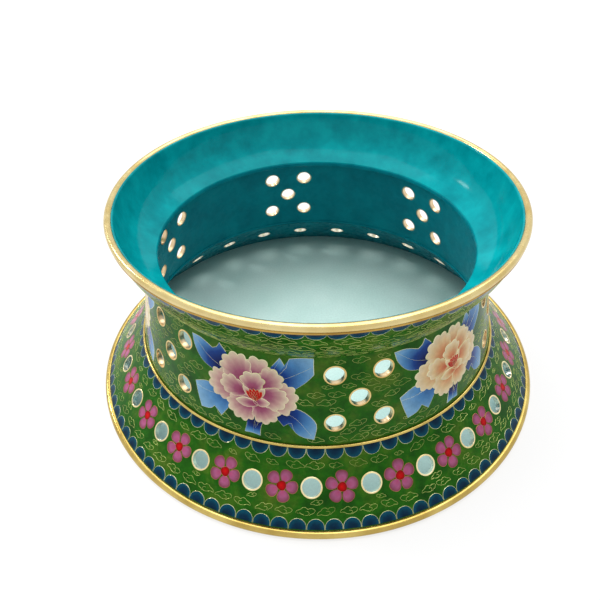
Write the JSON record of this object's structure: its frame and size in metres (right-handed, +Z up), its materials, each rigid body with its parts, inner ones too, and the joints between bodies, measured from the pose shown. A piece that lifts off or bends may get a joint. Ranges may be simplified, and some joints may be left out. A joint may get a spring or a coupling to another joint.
{
  "type": "hot pot stand",
  "caption": "Round waisted stand for a chimney hot pot: a flared seat on a pierced drum and a wide pierced skirt, with gilt rings, flowered enamel and a metal floor plate.",
  "frame": {"origin": "centre of the foot, on the surface that the stand rests on", "axes": "+Z up along the stand's own axis; -Y faces the picture's viewer, so the first group of air holes lies 12 degrees to the right of -Y"},
  "size_m": [0.2666, 0.2666, 0.1165],
  "materials": {
    "gilt_brass": "polished gilt rings and wires",
    "copper_sheet": "copper sheet, bare only at its edges",
    "green_enamel": "glossy opaque green enamel with fine cloud wires",
    "teal_enamel": "glossy opaque teal enamel",
    "blue_enamel": "glossy opaque dark blue enamel",
    "pink_enamel": "glossy opaque pink enamel",
    "red_enamel": "glossy opaque red enamel",
    "mauve_enamel": "glossy opaque enamel, mauve fading to cream at the petals' edges",
    "peach_enamel": "glossy opaque enamel, peach fading to cream at the petals' edges",
    "leaf_enamel": "glossy opaque enamel, navy to pale blue",
    "plate_steel": "satin grey metal with light scratches"
  },
  "bodies": {
    "root": {"rim_ring": "gilt_brass", "rim_wire": "gilt_brass", "collar_copper": "copper_sheet", "collar_enamel": "green_enamel", "rim_scallops": "blue_enamel", "seat_copper": "copper_sheet", "seat_enamel": "teal_enamel", "seat_back_enamel": "teal_enamel", "drum_copper": "copper_sheet", "drum_enamel": "green_enamel", "drum_lining": "teal_enamel", "drum_hole_wires": "gilt_brass", "mauve_petals": "mauve_enamel", "peach_petals": "peach_enamel", "peony_hearts": "red_enamel", "peony_leaves": "leaf_enamel", "waist_wire": "gilt_brass", "skirt_copper": "copper_sheet", "skirt_enamel": "green_enamel", "skirt_lining": "teal_enamel", "skirt_hole_wires": "gilt_brass", "waist_scallops": "blue_enamel", "foot_scallops": "blue_enamel", "blossom_petals": "pink_enamel", "blossom_eyes": "red_enamel", "foot_ring": "gilt_brass", "floor_plate": "plate_steel"}
  },
  "joints": []
}
